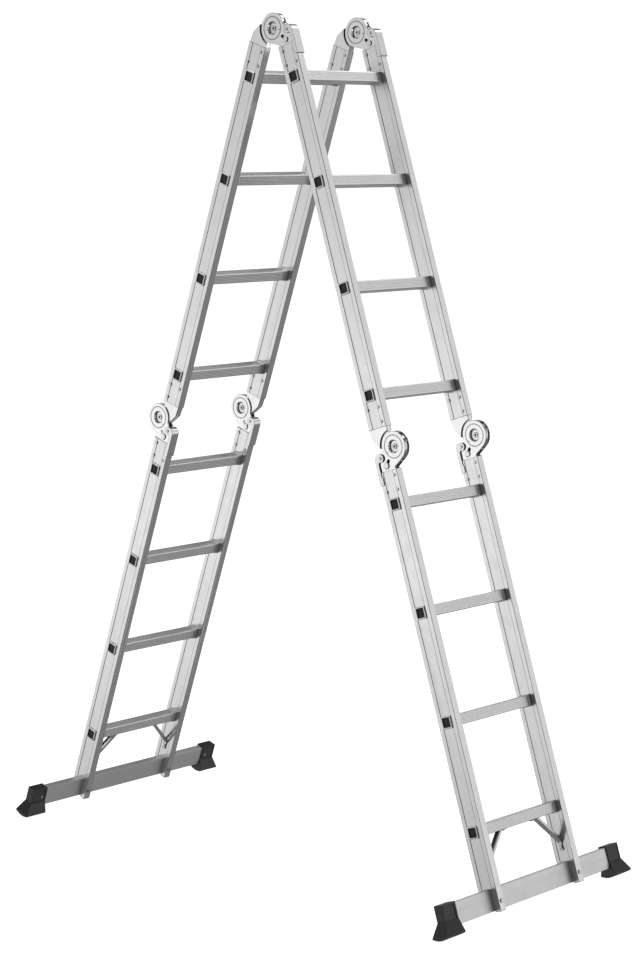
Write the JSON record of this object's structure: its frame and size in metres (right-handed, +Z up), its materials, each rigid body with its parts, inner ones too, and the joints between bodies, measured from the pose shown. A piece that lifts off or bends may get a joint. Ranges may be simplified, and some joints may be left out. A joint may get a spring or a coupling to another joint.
{
  "type": "multi position ladder",
  "caption": "Folding aluminium ladder of hinged sections with locking hinges, standing as a step ladder on wide base bars with rubber feet.",
  "frame": {"origin": "on the floor, in the middle of the ladder standing as a step ladder", "axes": "+Z up, +X towards the front leg, +Y along the rungs"},
  "size_m": [1.5956, 0.76, 2.235],
  "materials": {
    "stile_aluminium": "satin extruded",
    "rung_aluminium": "satin ribbed",
    "bar_aluminium": "satin extruded",
    "brace_aluminium": "mill finish",
    "hinge_zinc": "bright zinc plated steel",
    "lever_zinc": "bright zinc plated pressed steel",
    "zinc_fasteners": "zinc plated steel",
    "foot_rubber": "matt black rubber"
  },
  "bodies": {
    "rear_upper": {"rear_upper_stile_left": "stile_aluminium", "rear_upper_stile_right": "stile_aluminium", "rear_upper_rung_1": "rung_aluminium", "rear_upper_rung_2": "rung_aluminium", "rear_upper_rung_3": "rung_aluminium", "rear_upper_rung_4": "rung_aluminium", "rear_upper_fasteners": "zinc_fasteners", "rear_mid_inner_plates_left": "hinge_zinc", "rear_mid_inner_plates_right": "hinge_zinc", "top_inner_plates_left": "hinge_zinc", "top_inner_plates_right": "hinge_zinc"},
    "front_upper": {"front_upper_stile_left": "stile_aluminium", "front_upper_stile_right": "stile_aluminium", "front_upper_rung_1": "rung_aluminium", "front_upper_rung_2": "rung_aluminium", "front_upper_rung_3": "rung_aluminium", "front_upper_rung_4": "rung_aluminium", "front_upper_fasteners": "zinc_fasteners", "front_mid_inner_plates_left": "hinge_zinc", "front_mid_inner_plates_right": "hinge_zinc", "top_cheeks_left": "hinge_zinc", "top_cheeks_right": "hinge_zinc"},
    "front_lower": {"front_lower_stile_left": "stile_aluminium", "front_lower_stile_right": "stile_aluminium", "front_lower_rung_1": "rung_aluminium", "front_lower_rung_2": "rung_aluminium", "front_lower_rung_3": "rung_aluminium", "front_lower_rung_4": "rung_aluminium", "front_lower_fasteners": "zinc_fasteners", "front_base_bar": "bar_aluminium", "front_braces": "brace_aluminium", "front_foot_left": "foot_rubber", "front_mid_cheeks_left": "hinge_zinc", "front_foot_right": "foot_rubber", "front_mid_cheeks_right": "hinge_zinc"},
    "rear_lower": {"rear_lower_stile_left": "stile_aluminium", "rear_lower_stile_right": "stile_aluminium", "rear_lower_rung_1": "rung_aluminium", "rear_lower_rung_2": "rung_aluminium", "rear_lower_rung_3": "rung_aluminium", "rear_lower_rung_4": "rung_aluminium", "rear_lower_fasteners": "zinc_fasteners", "rear_base_bar": "bar_aluminium", "rear_braces": "brace_aluminium", "rear_foot_left": "foot_rubber", "rear_mid_cheeks_left": "hinge_zinc", "rear_foot_right": "foot_rubber", "rear_mid_cheeks_right": "hinge_zinc"},
    "top_lever_left": {"top_lever_left": "lever_zinc"},
    "top_lock_pin_left": {"top_lock_pin_left": "lever_zinc"},
    "top_lever_right": {"top_lever_right": "lever_zinc"},
    "top_lock_pin_right": {"top_lock_pin_right": "lever_zinc"},
    "front_mid_lever_left": {"front_mid_lever_left": "lever_zinc"},
    "front_mid_lock_pin_left": {"front_mid_lock_pin_left": "lever_zinc"},
    "front_mid_lever_right": {"front_mid_lever_right": "lever_zinc"},
    "front_mid_lock_pin_right": {"front_mid_lock_pin_right": "lever_zinc"},
    "rear_mid_lever_left": {"rear_mid_lever_left": "lever_zinc"},
    "rear_mid_lock_pin_left": {"rear_mid_lock_pin_left": "lever_zinc"},
    "rear_mid_lever_right": {"rear_mid_lever_right": "lever_zinc"},
    "rear_mid_lock_pin_right": {"rear_mid_lock_pin_right": "lever_zinc"}
  },
  "joints": [
    {"name": "top_hinge", "type": "hinge", "parent": "rear_upper", "child": "front_upper", "pos_m": [0, 0, 2.196], "axis": [0, 1, 0], "range_deg": [-142.8, 36.2]},
    {"name": "front_mid_hinge", "type": "hinge", "parent": "front_upper", "child": "front_lower", "pos_m": [0.42611, 0, 1.15557], "axis": [0, -1, 0], "range_deg": [0, 178]},
    {"name": "rear_mid_hinge", "type": "hinge", "parent": "rear_upper", "child": "rear_lower", "pos_m": [-0.42611, 0, 1.15557], "axis": [0, 1, 0], "range_deg": [0, 178]},
    {"name": "top_lever_left_swing", "type": "hinge", "parent": "front_upper", "child": "top_lever_left", "pos_m": [0.05282, -0.161, 2.19267], "axis": [0, -1, 0], "range_deg": [0, 10], "stiffness_Nm_per_rad": 2, "springref_deg": -11.46},
    {"name": "top_lock_pin_left_slide", "type": "slide", "parent": "front_upper", "child": "top_lock_pin_left", "axis": [0.859, 0, -0.512], "range_m": [0, 0.005]},
    {"name": "top_lever_right_swing", "type": "hinge", "parent": "front_upper", "child": "top_lever_right", "pos_m": [0.05282, 0.161, 2.19267], "axis": [0, -1, 0], "range_deg": [0, 10], "stiffness_Nm_per_rad": 2, "springref_deg": -11.46},
    {"name": "top_lock_pin_right_slide", "type": "slide", "parent": "front_upper", "child": "top_lock_pin_right", "axis": [0.859, 0, -0.512], "range_m": [0, 0.005]},
    {"name": "front_mid_lever_left_swing", "type": "hinge", "parent": "front_lower", "child": "front_mid_lever_left", "pos_m": [0.38605, -0.161, 1.12098], "axis": [0, 1, 0], "range_deg": [0, 10], "stiffness_Nm_per_rad": 2, "springref_deg": -11.46},
    {"name": "front_mid_lock_pin_left_slide", "type": "slide", "parent": "front_lower", "child": "front_mid_lock_pin_left", "axis": [-0.3746, 0, -0.9272], "range_m": [0, 0.005]},
    {"name": "front_mid_lever_right_swing", "type": "hinge", "parent": "front_lower", "child": "front_mid_lever_right", "pos_m": [0.38605, 0.161, 1.12098], "axis": [0, 1, 0], "range_deg": [0, 10], "stiffness_Nm_per_rad": 2, "springref_deg": -11.46},
    {"name": "front_mid_lock_pin_right_slide", "type": "slide", "parent": "front_lower", "child": "front_mid_lock_pin_right", "axis": [-0.3746, 0, -0.9272], "range_m": [0, 0.005]},
    {"name": "rear_mid_lever_left_swing", "type": "hinge", "parent": "rear_lower", "child": "rear_mid_lever_left", "pos_m": [-0.38605, -0.161, 1.12098], "axis": [0, -1, 0], "range_deg": [0, 10], "stiffness_Nm_per_rad": 2, "springref_deg": -11.46},
    {"name": "rear_mid_lock_pin_left_slide", "type": "slide", "parent": "rear_lower", "child": "rear_mid_lock_pin_left", "axis": [0.3746, 0, -0.9272], "range_m": [0, 0.005]},
    {"name": "rear_mid_lever_right_swing", "type": "hinge", "parent": "rear_lower", "child": "rear_mid_lever_right", "pos_m": [-0.38605, 0.161, 1.12098], "axis": [0, -1, 0], "range_deg": [0, 10], "stiffness_Nm_per_rad": 2, "springref_deg": -11.46},
    {"name": "rear_mid_lock_pin_right_slide", "type": "slide", "parent": "rear_lower", "child": "rear_mid_lock_pin_right", "axis": [0.3746, 0, -0.9272], "range_m": [0, 0.005]}
  ],
  "couplings": [
    {"joint": "top_lock_pin_left_slide", "follows": "top_lever_left_swing", "m_per_rad": 0.0286},
    {"joint": "top_lock_pin_right_slide", "follows": "top_lever_right_swing", "m_per_rad": 0.0286},
    {"joint": "front_mid_lock_pin_left_slide", "follows": "front_mid_lever_left_swing", "m_per_rad": 0.0286},
    {"joint": "front_mid_lock_pin_right_slide", "follows": "front_mid_lever_right_swing", "m_per_rad": 0.0286},
    {"joint": "rear_mid_lock_pin_left_slide", "follows": "rear_mid_lever_left_swing", "m_per_rad": 0.0286},
    {"joint": "rear_mid_lock_pin_right_slide", "follows": "rear_mid_lever_right_swing", "m_per_rad": 0.0286}
  ]
}
